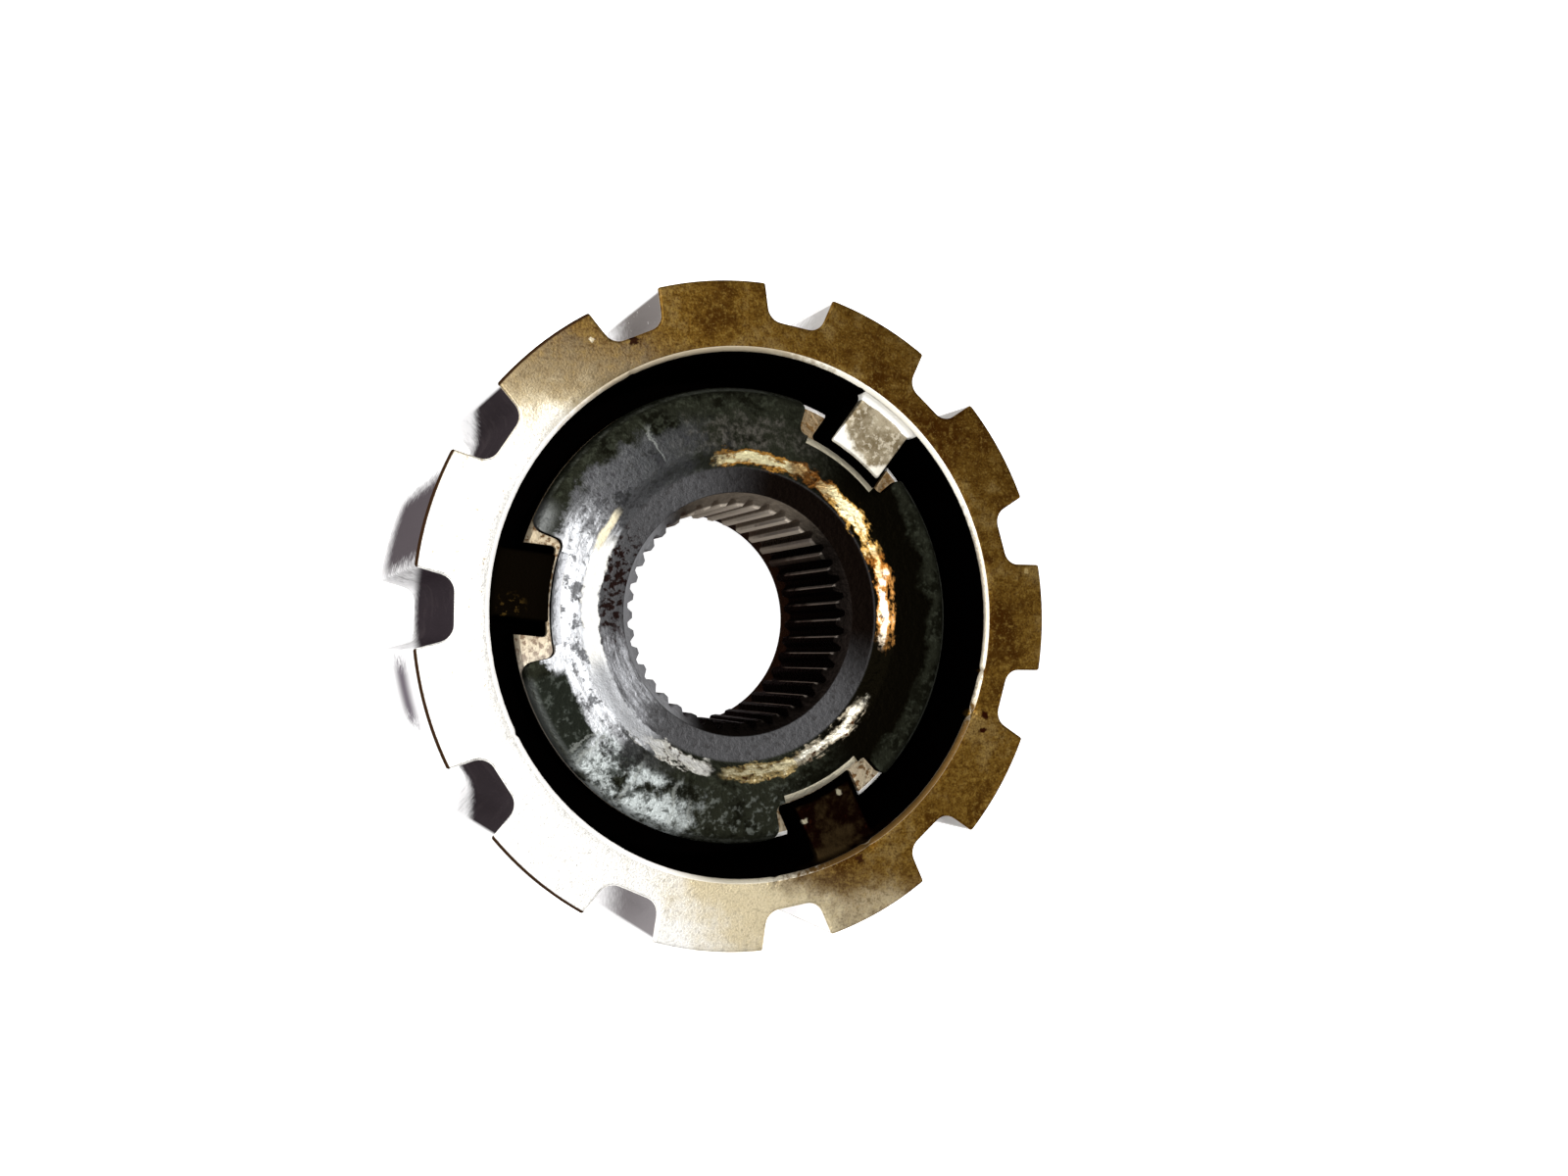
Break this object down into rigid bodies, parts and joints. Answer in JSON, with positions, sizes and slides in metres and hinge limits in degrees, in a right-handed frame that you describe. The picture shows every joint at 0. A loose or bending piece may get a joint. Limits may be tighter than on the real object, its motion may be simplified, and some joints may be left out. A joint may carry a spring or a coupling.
{
  "type": "parking gear",
  "caption": "Heavy notched steel ring around a forged hub with a splined bore; square dogs inside the ring pass through slots in the hub's pocketed flange.",
  "frame": {"origin": "on the gear's axis, in the plane of the ring's back face, which it rests on", "axes": "+Z along the gear's axis, out of the front face; one of the three dogs lies at 52.75 degrees from +X, turning towards +Y"},
  "size_m": [0.1197, 0.12, 0.05],
  "materials": {
    "oiled_machined_steel": "turned and milled steel under a brown-gold film of old oil",
    "dark_forged_steel": "dark rough forged steel, oily, with a machined spline and ledges"
  },
  "bodies": {
    "root": {"parking_ring": "oiled_machined_steel", "splined_hub": "dark_forged_steel"}
  },
  "joints": []
}
